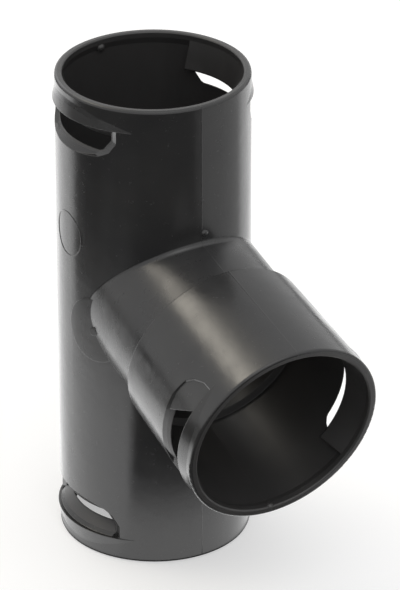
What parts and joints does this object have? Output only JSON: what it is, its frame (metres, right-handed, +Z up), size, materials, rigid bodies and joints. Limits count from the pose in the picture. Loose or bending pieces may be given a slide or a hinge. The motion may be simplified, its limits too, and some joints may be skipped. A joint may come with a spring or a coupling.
{
  "type": "snap-fit branch tee for corrugated drain pipe",
  "caption": "Moulded drain pipe tee: a straight round run with a drooping side branch, and a slotted snap catch on each side of every mouth.",
  "frame": {"origin": "on the axis of the run, in the plane of its lower end face", "axes": "+Z up along the run; the branch leaves towards +X and droops; the snap windows of the run face +Y and -Y"},
  "size_m": [0.2348, 0.1304, 0.312],
  "materials": {
    "tee_body": "black polyethylene with a satin moulded skin"
  },
  "bodies": {
    "root": {"tee_body": "tee_body"}
  },
  "joints": []
}
